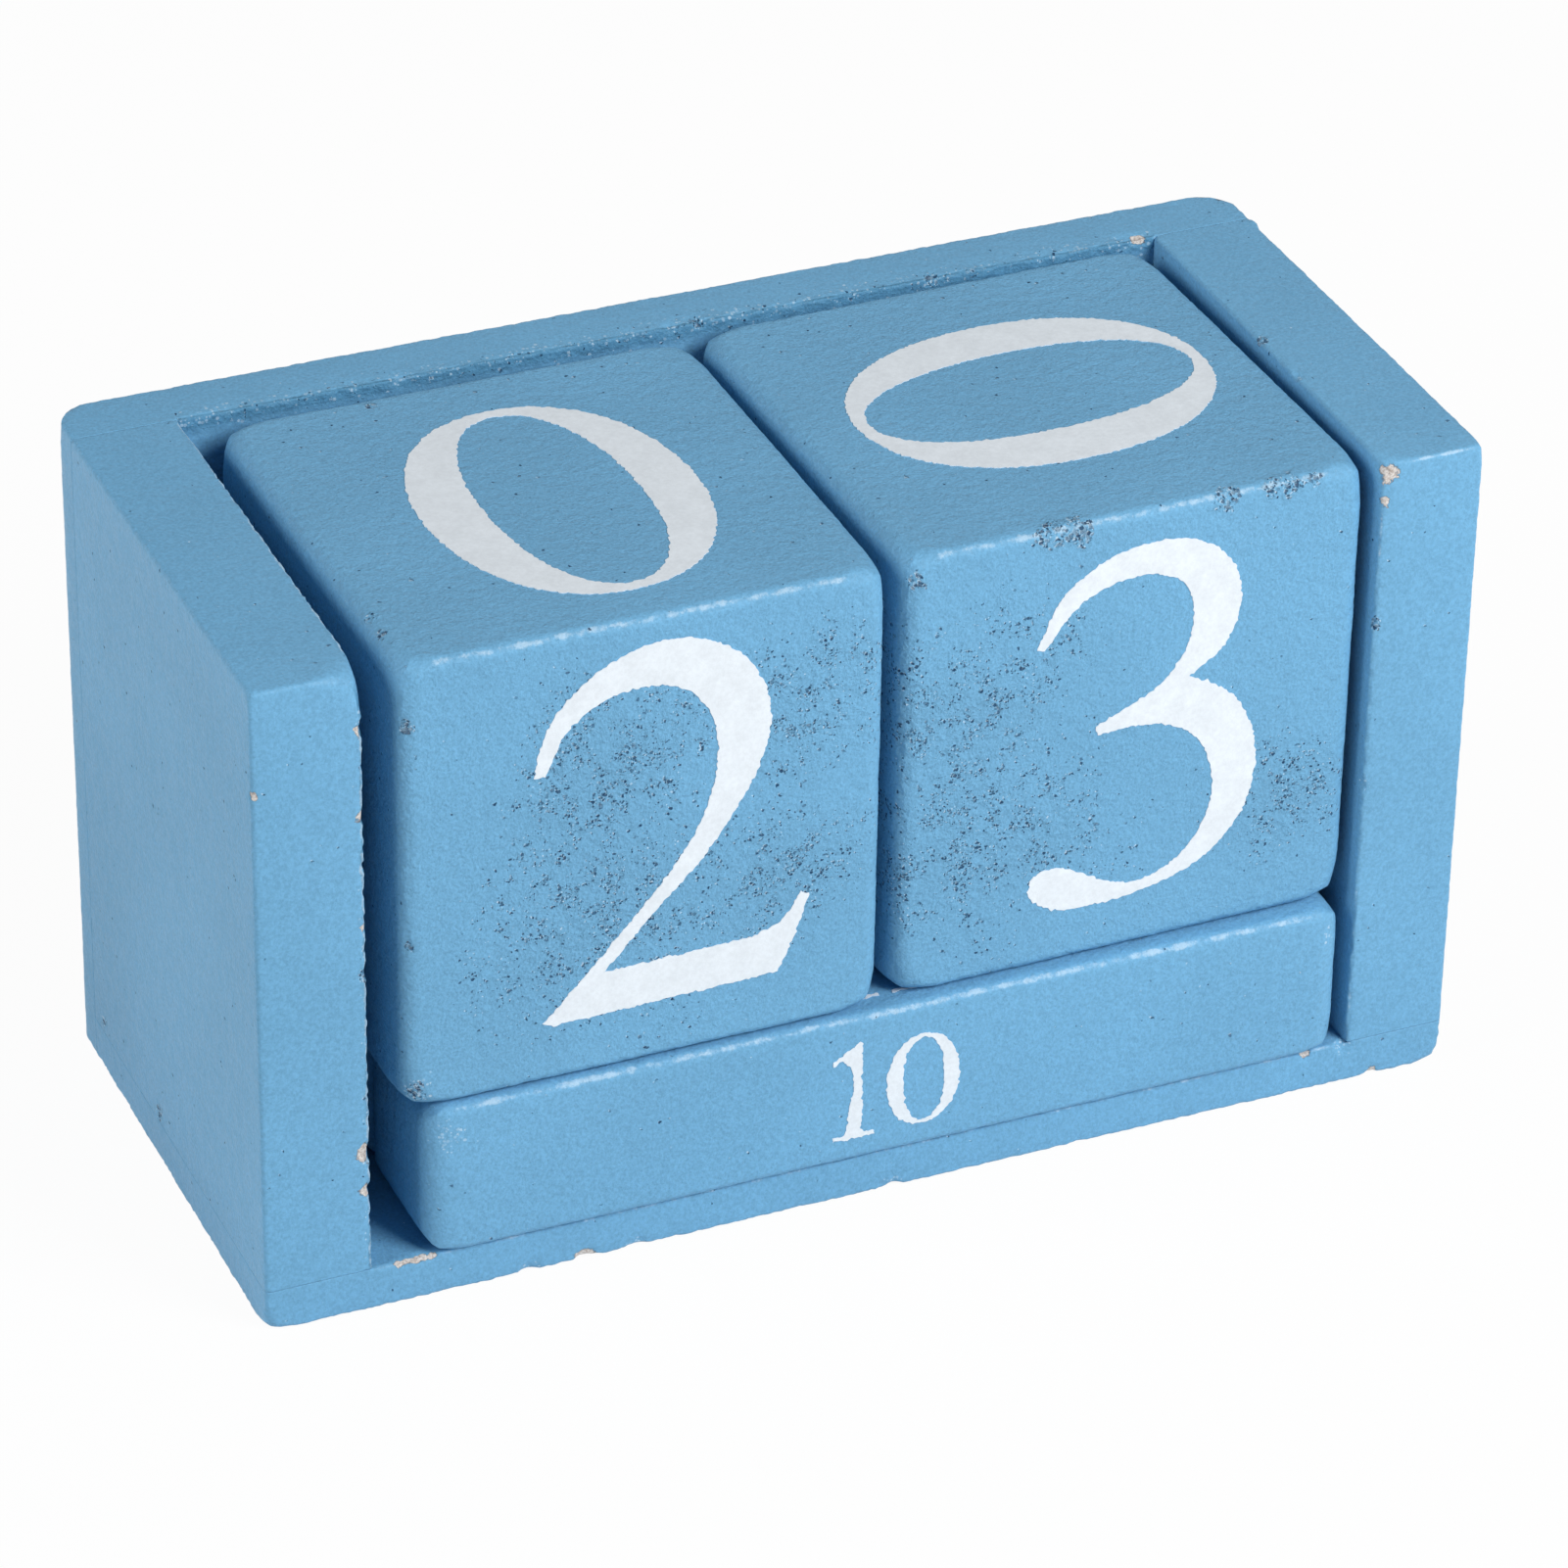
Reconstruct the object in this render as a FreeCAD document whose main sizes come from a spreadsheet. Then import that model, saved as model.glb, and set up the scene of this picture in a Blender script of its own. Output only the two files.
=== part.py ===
import FreeCAD, Part
import os
import Sketcher

# A perpetual block calendar of painted wood: a case of four glued panels, open at the front and
# the top, that holds two number cubes standing on three square month bars.
# The origin is the middle of the case's underside. +X is to the right, +Y to the back, +Z up.

# The driving dimensions, in millimetres, and degrees for the turns. The case has no size of its
# own: it is built round the blocks and the play that they are given.
DIMENSIONS = (
    ("cube_size", 44.9, "edge of a number cube"),
    ("cube_end_round", 1.7, "rounding of a cube's edges at its left and right ends"),
    ("cube_round", 1.0, "rounding of a cube's four other edges"),
    ("bar_section", 15.4, "side of a month bar's square section"),
    ("bar_end_round", 2.4, "rounding of a bar's edges at its two ends"),
    ("bar_round", 0.9, "rounding of a bar's four long edges"),
    ("side_thickness", 9.9, "left and right panels"),
    ("back_thickness", 6.1, "back panel"),
    ("bottom_thickness", 4.3, "bottom panel"),
    ("edge_round", 0.4, "rounding of the panels' edges"),
    ("back_corner_round", 3.5, "rounding of the back panel's upright corners"),
    ("left_play", 2.95, "from the left panel to the left cube"),
    ("cube_play", 1.25, "from cube to cube"),
    ("right_play", 1.2, "from the right cube to the right panel"),
    ("left_cube_back_play", 1.85, "from the left cube to the back panel"),
    ("right_cube_back_play", 0.9, "from the right cube to the back panel"),
    ("left_cube_turn", 0.2, "how far the left cube stands out of square"),
    ("right_cube_turn", 0.9, "how far the right cube stands out of square"),
    ("bar_left_play", 4.85, "from the left panel to a bar's end"),
    ("bar_right_play", 1.25, "from a bar's end to the right panel"),
    ("bar_back_play", 0.35, "from the back panel to the rear bar"),
    ("bar_play", 0.4, "from bar to bar"),
    ("bar_overhang", 0.8, "how far the front bar stands out of the case"),
    ("rest_play", 0.15, "under a bar, and under a cube"),
    ("rim_height", 0.2, "from the cubes' tops up to the case's rim"),
)

# Sizes and places that follow from the dimensions, as expressions for the document's objects.
INNER_WIDTH = "(2 * Size.cube_size + Size.left_play + Size.cube_play + Size.right_play)"
CASE_WIDTH = f"({INNER_WIDTH} + 2 * Size.side_thickness)"
BARS_DEPTH = "(3 * Size.bar_section + 2 * Size.bar_play)"
INNER_DEPTH = f"({BARS_DEPTH} + Size.bar_back_play - Size.bar_overhang)"
CASE_DEPTH = f"({INNER_DEPTH} + Size.back_thickness)"
BAR_BOTTOM = "(Size.bottom_thickness + Size.rest_play)"
CUBE_BOTTOM = f"({BAR_BOTTOM} + Size.bar_section + Size.rest_play)"
CASE_HEIGHT = f"({CUBE_BOTTOM} + Size.cube_size + Size.rim_height)"
BAR_LENGTH = f"({INNER_WIDTH} - Size.bar_left_play - Size.bar_right_play)"
BACK_PANEL_FRONT = f"({CASE_DEPTH} / 2 - Size.back_thickness)"
CAVITY_MIDDLE = "(-Size.back_thickness / 2)"

# A body's edges are named by the two sides that meet in them.
UPRIGHT_BACK_EDGES = (("-X", "+Y"), ("+X", "+Y"))
LONG_EDGES = (("-Y", "-Z"), ("-Y", "+Z"), ("+Y", "-Z"), ("+Y", "+Z"))
END_EDGES = tuple((end, side) for end in ("-X", "+X") for side in ("-Y", "+Y", "-Z", "+Z"))
TOUCH = 1e-4

doc = FreeCAD.newDocument("BlockCalendar")


def make_sheet():
    """The spreadsheet of driving dimensions: a name, a value and a meaning in each row."""
    sheet = doc.addObject("Spreadsheet::Sheet", "Size")
    for row, (alias, value, meaning) in enumerate(DIMENSIONS, start=1):
        sheet.set(f"A{row}", alias)
        sheet.set(f"B{row}", str(value))
        sheet.set(f"C{row}", meaning)
        sheet.setAlias(f"B{row}", alias)
    doc.recompute()


def base_plane(body, role):
    """One of a body's own three base planes."""
    return next(plane for plane in body.Origin.OriginFeatures if plane.Role == role)


def rectangle_sketch(body, width, depth):
    """A rectangle about the body's own origin, on its XY plane."""
    sketch = body.newObject("Sketcher::SketchObject", f"{body.Name}_outline")
    sketch.AttachmentSupport = [(base_plane(body, "XY_Plane"), "")]
    sketch.MapMode = "FlatFace"
    corners = [FreeCAD.Vector(x, y, 0) for x, y in ((-2, -1), (2, -1), (2, 1), (-2, 1))]
    for start, end in zip(corners, corners[1:] + corners[:1]):
        sketch.addGeometry(Part.LineSegment(start, end), False)
    front, right, back, left = range(4)
    for line, following in ((front, right), (right, back), (back, left), (left, front)):
        sketch.addConstraint(Sketcher.Constraint("Coincident", line, 2, following, 1))
    for line in (front, back):
        sketch.addConstraint(Sketcher.Constraint("Horizontal", line))
    for line in (right, left):
        sketch.addConstraint(Sketcher.Constraint("Vertical", line))
    sketch.addConstraint(Sketcher.Constraint("Symmetric", front, 1, back, 1, -1, 1))
    for name, line, kind, size in (
        ("width", front, "DistanceX", width),
        ("depth", right, "DistanceY", depth),
    ):
        number = sketch.addConstraint(Sketcher.Constraint(kind, line, 1, line, 2, 2))
        sketch.renameConstraint(number, name)
        sketch.setExpression(f"Constraints.{name}", size)
    return sketch


def padded_body(name, width, depth, height):
    """A body of its own name: a rectangle about its origin, raised to its height."""
    body = doc.addObject("PartDesign::Body", name)
    body.Label = name
    pad = body.newObject("PartDesign::Pad", f"{name}_pad")
    pad.Profile = rectangle_sketch(body, width, depth)
    pad.setExpression("Length", height)
    body.Tip = pad
    doc.recompute()
    return body


def lies_on(edge, solid, side):
    """Whether an edge's ends lie on one side, such as "-X", of its solid."""
    axis = "XYZ".index(side[1])
    outermost = min if side[0] == "-" else max
    limit = outermost(vertex.Point[axis] for vertex in solid.Vertexes)
    return all(abs(vertex.Point[axis] - limit) < TOUCH for vertex in edge.Vertexes)


def edge_names(solid, corners):
    """Names of a solid's edges in which the two sides of one of the corners meet."""
    names = []
    for number, edge in enumerate(solid.Edges, start=1):
        if any(all(lies_on(edge, solid, side) for side in corner) for corner in corners):
            names.append(f"Edge{number}")
    return names


def round_edges(body, label, corners, radius):
    """A fillet on a body's named edges."""
    base = body.Tip
    fillet = body.newObject("PartDesign::Fillet", f"{body.Name}_{label}")
    fillet.Base = (base, edge_names(base.Shape, corners))
    fillet.setExpression("Radius", radius)
    body.Tip = fillet
    doc.recompute()


def place(body, x="0", y="0", z="0", turn=None):
    """The body's place in the case, and its turn about its own upright axis."""
    for axis, position in zip("xyz", (x, y, z)):
        body.setExpression(f"Placement.Base.{axis}", position)
    if turn:
        body.Placement.Rotation = FreeCAD.Rotation(FreeCAD.Vector(0, 0, 1), 1)
        body.setExpression("Placement.Rotation.Angle", f"{turn} * 1 deg")
    doc.recompute()


def make_back_panel():
    """The back panel, as wide and as high as the whole case, with well rounded back corners."""
    body = padded_body("back_panel", CASE_WIDTH, "Size.back_thickness", CASE_HEIGHT)
    edges = [(side, end) for end in ("+Z", "-Z") for side in ("-X", "+X", "+Y")]
    edges += [("-Y", "-X"), ("-Y", "+X"), ("-Y", "+Z")]
    round_edges(body, "corners", UPRIGHT_BACK_EDGES, "Size.back_corner_round")
    round_edges(body, "edges", edges, "Size.edge_round")
    place(body, y=f"{BACK_PANEL_FRONT} + Size.back_thickness / 2")


def make_bottom_panel():
    """The bottom panel, glued to the back panel's front and as wide as the case."""
    body = padded_body("bottom_panel", CASE_WIDTH, INNER_DEPTH, "Size.bottom_thickness")
    edges = (("-X", "-Y"), ("+X", "-Y"), ("-X", "-Z"), ("+X", "-Z"), ("-Y", "-Z"), ("-Y", "+Z"))
    round_edges(body, "edges", edges, "Size.edge_round")
    place(body, y=CAVITY_MIDDLE)


def make_side(name, direction):
    """A side panel, standing on the bottom panel against the back panel."""
    height = f"{CASE_HEIGHT} - Size.bottom_thickness"
    body = padded_body(name, "Size.side_thickness", INNER_DEPTH, height)
    edges = (("-X", "-Y"), ("-X", "+Z"), ("+X", "-Y"), ("+X", "+Z"), ("-Y", "+Z"))
    round_edges(body, "edges", edges, "Size.edge_round")
    middle = f"{direction} * ({INNER_WIDTH} + Size.side_thickness) / 2"
    place(body, x=middle, y=CAVITY_MIDDLE, z="Size.bottom_thickness")


def round_block(body, end_radius, long_radius):
    """A block cut from square stock: rounded most at its two sawn ends, and eased along its length."""
    round_edges(body, "ends", END_EDGES, end_radius)
    round_edges(body, "long_edges", LONG_EDGES, long_radius)


def make_cube(name, middle, back_play, turn):
    """A number cube on the month bars."""
    body = padded_body(name, "Size.cube_size", "Size.cube_size", "Size.cube_size")
    round_block(body, "Size.cube_end_round", "Size.cube_round")
    depth = f"{BACK_PANEL_FRONT} - {back_play} - Size.cube_size / 2"
    place(body, x=middle, y=depth, z=CUBE_BOTTOM, turn=turn)


def make_bar(name, bars_behind):
    """A square month bar lying along the bottom panel, in front of those behind it."""
    body = padded_body(name, BAR_LENGTH, "Size.bar_section", "Size.bar_section")
    round_block(body, "Size.bar_end_round", "Size.bar_round")
    pitch = "(Size.bar_section + Size.bar_play)"
    rear = f"{BACK_PANEL_FRONT} - Size.bar_back_play - Size.bar_section / 2"
    middle = "(Size.bar_left_play - Size.bar_right_play) / 2"
    place(body, x=middle, y=f"{rear} - {bars_behind} * {pitch}", z=BAR_BOTTOM)


def make_case():
    """The four glued panels."""
    make_back_panel()
    make_bottom_panel()
    make_side("left_side", -1)
    make_side("right_side", 1)


def make_blocks():
    """The loose blocks: a cube against either side, on bars that lie one behind another."""
    left = f"Size.left_play + Size.cube_size / 2 - {INNER_WIDTH} / 2"
    right = f"{INNER_WIDTH} / 2 - Size.right_play - Size.cube_size / 2"
    make_cube("left_cube", left, "Size.left_cube_back_play", "Size.left_cube_turn")
    make_cube("right_cube", right, "Size.right_cube_back_play", "Size.right_cube_turn")
    names = ("month_bar_rear", "month_bar_middle", "month_bar_front")
    for bars_behind, name in enumerate(names):
        make_bar(name, bars_behind)


def check():
    """Stops if any object failed or any body is not one valid solid."""
    for item in doc.Objects:
        if "Invalid" in item.State or "Error" in item.State:
            raise RuntimeError(f"{item.Name} failed: {item.State}")
    for body in bodies():
        shape = body.Shape
        if shape.isNull() or not shape.isValid() or len(shape.Solids) != 1:
            raise RuntimeError(f"{body.Label} is not one valid solid")


def bodies():
    """The sub-parts, in the order they were made."""
    return [item for item in doc.Objects if item.TypeId == "PartDesign::Body"]


def export():
    """One STEP file for each sub-part, named by its label."""
    os.makedirs("parts", exist_ok=True)
    for body in bodies():
        body.Shape.exportStep(f"parts/{body.Label}.step")
        box = body.Shape.optimalBoundingBox()
        size = f"{box.XLength:.2f} x {box.YLength:.2f} x {box.ZLength:.2f}"
        print(f"{body.Label}: {size} mm, {body.Shape.Volume:.0f} mm3")


make_sheet()
make_case()
make_blocks()
doc.recompute()
check()
export()
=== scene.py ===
"""A painted block calendar: two numbered cubes on three month bars, in a case open at its front and top."""

import itertools
import math
from collections import namedtuple

import bmesh
import bpy
import numpy as np
from mathutils import Matrix, Vector, noise


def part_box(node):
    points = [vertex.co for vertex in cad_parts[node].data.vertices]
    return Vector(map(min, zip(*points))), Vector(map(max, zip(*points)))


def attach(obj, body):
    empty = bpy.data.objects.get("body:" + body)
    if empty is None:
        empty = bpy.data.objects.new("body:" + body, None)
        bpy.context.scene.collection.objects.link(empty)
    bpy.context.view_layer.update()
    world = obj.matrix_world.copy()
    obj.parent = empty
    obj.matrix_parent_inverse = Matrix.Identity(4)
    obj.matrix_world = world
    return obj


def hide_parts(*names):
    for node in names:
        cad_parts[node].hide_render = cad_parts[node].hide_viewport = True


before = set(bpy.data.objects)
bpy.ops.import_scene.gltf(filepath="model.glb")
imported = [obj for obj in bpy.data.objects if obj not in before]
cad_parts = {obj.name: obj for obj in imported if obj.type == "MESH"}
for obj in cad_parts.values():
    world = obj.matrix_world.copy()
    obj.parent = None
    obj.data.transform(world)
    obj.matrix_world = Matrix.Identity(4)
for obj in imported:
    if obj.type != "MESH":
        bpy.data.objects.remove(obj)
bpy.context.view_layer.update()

MM = 0.001

# The sizes below are millimetres and degrees unless a line says otherwise.

# Rounding of the pieces' edges. Cubes and bars are rounded most round their two sawn ends.
CUBE_END_ROUND = 1.7
CUBE_ROUND = 1.0
BAR_END_ROUND = 2.4
BAR_ROUND = 0.9
CASE_EDGE_ROUND = 0.4
BACK_CORNER_ROUND = 3.5
SEAM_ROUND = 0.04

# How the cubes stand in the case, turned by hand
CUBE_TURNS = {"left_cube": 0.2, "right_cube": 0.9}

# Mesh: points along an edge, and the points in a row that one large cell of a flat face spans
EDGE_STEP = 0.35
POINTS_PER_CELL = 5

# Faces of a block: the outward axis and its side, then the directions that run across and up the face as
# one looks at it
FACES = {
    "front": (1, -1, np.array((1, 0, 0)), np.array((0, 0, 1))),
    "back": (1, 1, np.array((-1, 0, 0)), np.array((0, 0, 1))),
    "left": (0, -1, np.array((0, -1, 0)), np.array((0, 0, 1))),
    "right": (0, 1, np.array((0, 1, 0)), np.array((0, 0, 1))),
    "top": (2, 1, np.array((1, 0, 0)), np.array((0, 1, 0))),
    "bottom": (2, -1, np.array((1, 0, 0)), np.array((0, -1, 0))),
}

# Camera: where it stands, the point it looks at, its tilt about that line, its lens and its sensor's width
CAMERA_PLACE = (-218.93, -505.32, 370.36)
CAMERA_AIM = (3.81, 3.37, 25.23)
CAMERA_ROLL = 1.005
CAMERA_LENS = 164.02
SENSOR_WIDTH = 36.0
CAMERA_NEAR = 10.0


# ---------------------------------------------------------------- shader nodes


class Shader:
    """A material whose nodes are added by short calls."""

    def __init__(self, name):
        self.material = bpy.data.materials.new(name)
        self.material.use_nodes = True
        self.tree = self.material.node_tree
        self.surface = self.tree.nodes["Principled BSDF"]

    def feed(self, socket, value):
        if isinstance(value, bpy.types.NodeSocket):
            self.tree.links.new(value, socket)
        else:
            socket.default_value = value

    def add(self, kind, output, inputs, **settings):
        node = self.tree.nodes.new(kind)
        for key, value in settings.items():
            setattr(node, key, value)
        for key, value in inputs.items():
            self.feed(node.inputs[key], value)
        return node.outputs[output]

    def math(self, operation, *values):
        return self.add("ShaderNodeMath", 0, dict(enumerate(values)), operation=operation)

    def places(self):
        """The piece's own coordinates in millimetres."""
        own = self.add("ShaderNodeTexCoord", "Object", {})
        return self.add("ShaderNodeVectorMath", 0, {0: own, 1: (1 / MM,) * 3}, operation="MULTIPLY")

    def noise(self, places, per_mm, detail=2.0, roughness=0.5):
        inputs = {"Vector": places, "Scale": per_mm, "Detail": detail, "Roughness": roughness}
        return self.add("ShaderNodeTexNoise", 0, inputs)

    def ramp(self, value, low, high, to_low=0.0, to_high=1.0):
        inputs = {"Value": value, "From Min": low, "From Max": high}
        inputs |= {"To Min": to_low, "To Max": to_high}
        return self.add("ShaderNodeMapRange", 0, inputs, interpolation_type="SMOOTHSTEP")

    def mix(self, factor, first, second, blend="MIX"):
        inputs = {0: factor, 6: first, 7: second}
        return self.add("ShaderNodeMix", 2, inputs, data_type="RGBA", blend_type=blend)

    def grey(self, level):
        return self.add("ShaderNodeCombineColor", 0, {0: level, 1: level, 2: level})

    def painted_on(self, name):
        """A value that the mesh carries at its points."""
        return self.add("ShaderNodeAttribute", "Fac", {}, attribute_name=name)

    def bump(self, height, depth):
        return self.add("ShaderNodeBump", 0, {"Height": height, "Distance": depth * MM, "Strength": 1.0})


def colour(red, green, blue):
    """The linear colour of an 8-bit screen colour."""
    values = (c / 255 for c in (red, green, blue))
    return tuple(c / 12.92 if c <= 0.04045 else ((c + 0.055) / 1.055) ** 2.4 for c in values) + (1.0,)


PAINT_BLUE = colour(113, 171, 209)
# The pale blue paints sparkle, highlight lines and the lit rims of pits as painted highlights, and chalky
# specks
HIGHLIGHT_AND_CHALK_BLUE = colour(196, 222, 240)
# A darker blue painted as shade on inner walls just below some edges
SHADE_BLUE = colour(86, 143, 179)
# Dark specks, partly painted shade in their pits
SPECK_AND_PIT_SHADE_BLUE = colour(20, 52, 88)
BARE_WOOD = colour(220, 216, 212)
WORN_WOOD = colour(178, 166, 158)
PRINT_WHITE = colour(228, 236, 243)

# How much the paint and the ink reflect, as the shader counts it
PAINT_SPECULAR = 0.12
PRINT_SPECULAR = 0.8
PRINT_COAT = 0.6
PRINT_COAT_ROUGHNESS = 0.4

# Noises: cells in a millimetre, layers of detail, and how strong the fine layers are
CLOUD = (0.06, 3.0, 0.5)
PEEL = (0.9, 3.0, 0.6)
GRAIN = (3.2, 3.0, 0.65)
WORN_HIGHLIGHT_BREAKS = (0.5, 5.0, 0.8)
CROWD = (0.4, 3.0, 0.6)
SPLINTERS = (2.4, 4.0, 0.75)
FIBRES = (4.0, 3.0, 0.7)
INK_GRAIN = (2.6, 3.0, 0.6)
INK_MOTTLE = (0.5, 3.0, 0.5)

# Ramps: from a low and a high value to the two that are given after them, or to 0 and 1
CLOUD_TONE = (0.3, 0.7, 0.965, 1.03)
GRAIN_TONE = (0.25, 0.75, 0.88, 1.12)
PAINT_ROUGHNESS = (0.3, 0.7, 0.3, 0.4)
WORN_HIGHLIGHT_RAMP = (1.2, 1.36)
CROWDED = (0.42, 0.6)
PIT_SHARE = (0.1, 0.6, 0.0, 0.95)
BARE_RAMP = (1.0, 1.12)
FIBRE_TONE = (0.35, 0.6)
INK_TONE = (0.3, 0.7, 0.96, 1.02)
INK_GRAIN_TONE = (0.25, 0.75, 0.95, 1.04)
INK_ROUGHNESS = (0.3, 0.7, 0.45, 0.6)

# Dots: cells of their grid in a millimetre, and their greatest radius in millimetres
# The first two are pale dots painted as sparkle, glints of light on the paint's tiny bumps
LARGE_SPARKLES = (0.55, 0.12)
SMALL_SPARKLES = (1.5, 0.07)
CHALK = (3.0, 0.22)
SPECKS = (3.6, 0.21)
# Pale rims beside specks and pits, painted as the highlight on one side of each pit
SPECK_HIGHLIGHTS = (3.6, 0.15)
PITS = (3.0, 0.28)
PIT_HIGHLIGHTS = (3.0, 0.26)
PINHOLES = (0.5, 0.12)

# A dot's least radius and strength, as shares of the greatest, and how soft its rim is
LEAST_DOT = 0.4
FAINTEST_DOT = 0.45
DOT_RIM = 0.4

# Share of the cells that hold a pinhole in the ink, chalk on a pale mark, and a speck in a crowd
PINHOLE_SHARE = 0.12
CHALK_SHARE = 0.8
SPECK_SHARE = 0.85

# How much of the pale line along a rubbed edge, partly wear and partly a painted highlight, is left to the
# noise that breaks it
WORN_HIGHLIGHT_NOISE = 0.8

# How the specks' places are swirled: swirls in a millimetre, their detail, and how far they carry a speck.
# The side offset below is where a speck's pale rim, a painted highlight on one side of its pit, lies from it,
# in millimetres.
SWIRL_SCALE = 2.0
SWIRL_DETAIL = 2.0
SPECK_SWIRL = 0.5
HIGHLIGHT_SIDE = (0.1, 0.05, -0.1)

# How far each mark covers what lies under it
SHADE_COVER = 0.9
SPARKLE_COVER = 0.6
WORN_HIGHLIGHT_COVER = 0.6
RIM_HIGHLIGHT_COVER = 0.8
HOLE_COVER = 0.9
PINHOLE_COVER = 0.5

# How high each mark stands in the relief, beside the grain, and how deep the relief is in millimetres
PEEL_HEIGHT = 2.2
SPARKLE_HEIGHT = 0.8
HOLE_HEIGHT = -1.3
BARE_HEIGHT = -1.5
PAINT_RELIEF = 0.08
INK_RELIEF = 0.02

# What holes and bare wood add to the roughness
HOLE_ROUGHNESS = 0.3
BARE_ROUGHNESS = 0.35


def dots(shader, places, per_mm, radius, share):
    """Dots of up to a radius in millimetres, some faint, in a share of the cells of a scattered grid."""
    settings = {"Vector": places, "Scale": per_mm}
    distance = shader.add("ShaderNodeTexVoronoi", "Distance", settings)
    lots = shader.tree.nodes.new("ShaderNodeSeparateColor")
    shader.feed(lots.inputs[0], shader.add("ShaderNodeTexVoronoi", "Color", settings))
    chosen = shader.math("LESS_THAN", lots.outputs[0], share)
    size = shader.ramp(lots.outputs[1], 0.0, 1.0, LEAST_DOT * radius * per_mm, radius * per_mm)
    inside = shader.math("SUBTRACT", 1.0, shader.math("DIVIDE", distance, size))
    strength = shader.ramp(lots.outputs[2], 0.0, 1.0, FAINTEST_DOT, 1.0)
    solid = shader.math("MULTIPLY", shader.ramp(inside, 0.0, DOT_RIM), chosen)
    return shader.math("MULTIPLY", solid, strength)


def cover(shader, film, mark, share, tint):
    """A mark on the film, through which a share of the film still shows."""
    return shader.mix(shader.math("MULTIPLY", mark, share), film, tint)


def blue_film(shader, places, grain):
    """The paint's blue with slow clouds and a fine mottle, and a darker blue painted as shade where the mesh
    says so.
    """
    tone = shader.ramp(shader.noise(places, *CLOUD), *CLOUD_TONE)
    level = shader.math("MULTIPLY", tone, shader.ramp(grain, *GRAIN_TONE))
    # Painted shade: a darker blue on inner walls just below gritty edges
    blue = cover(shader, PAINT_BLUE, shader.painted_on("painted_shade"), SHADE_COVER, SHADE_BLUE)
    return shader.mix(1.0, blue, shader.grey(level), "MULTIPLY")


def worn_highlight_lines(shader, places):
    """A broken pale line along edges, partly wear and partly a painted highlight, and chalky dots where the
    mesh is pale.
    """
    broken = shader.math("MULTIPLY_ADD", shader.noise(places, *WORN_HIGHLIGHT_BREAKS), WORN_HIGHLIGHT_NOISE, shader.painted_on("worn_highlight"))
    chalky = shader.math("MULTIPLY", shader.painted_on("pale"), CHALK_SHARE)
    return shader.math("MAXIMUM", shader.ramp(broken, *WORN_HIGHLIGHT_RAMP), dots(shader, places, *CHALK, chalky))


def highlit_rims_and_holes(shader, places, specks):
    """Pale rim dots painted as highlights, and the holes that they lie beside, dark partly as painted pit
    shade, which crowd where the mesh is specked or pitted.
    """
    inputs = {"Vector": places, "Scale": SWIRL_SCALE, "Detail": SWIRL_DETAIL}
    swirl = shader.add("ShaderNodeTexNoise", 1, inputs)
    inputs = {0: swirl, 1: (SPECK_SWIRL,) * 3, 2: places}
    swirled = shader.add("ShaderNodeVectorMath", 0, inputs, operation="MULTIPLY_ADD")
    beside = shader.add("ShaderNodeVectorMath", 0, {0: swirled, 1: HIGHLIGHT_SIDE}, operation="ADD")
    crowd = shader.ramp(shader.noise(places, *CROWD), *CROWDED)
    clusters = shader.math("MULTIPLY", shader.painted_on("specks"), crowd)
    loose = shader.math("MULTIPLY_ADD", clusters, SPECK_SHARE, specks)
    dense = shader.ramp(shader.painted_on("pits"), *PIT_SHARE)
    return [
        shader.math("MAXIMUM", dots(shader, at, *small, loose), dots(shader, at, *large, dense))
        for at, small, large in ((beside, SPECK_HIGHLIGHTS, PIT_HIGHLIGHTS), (swirled, SPECKS, PITS))
    ]


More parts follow.
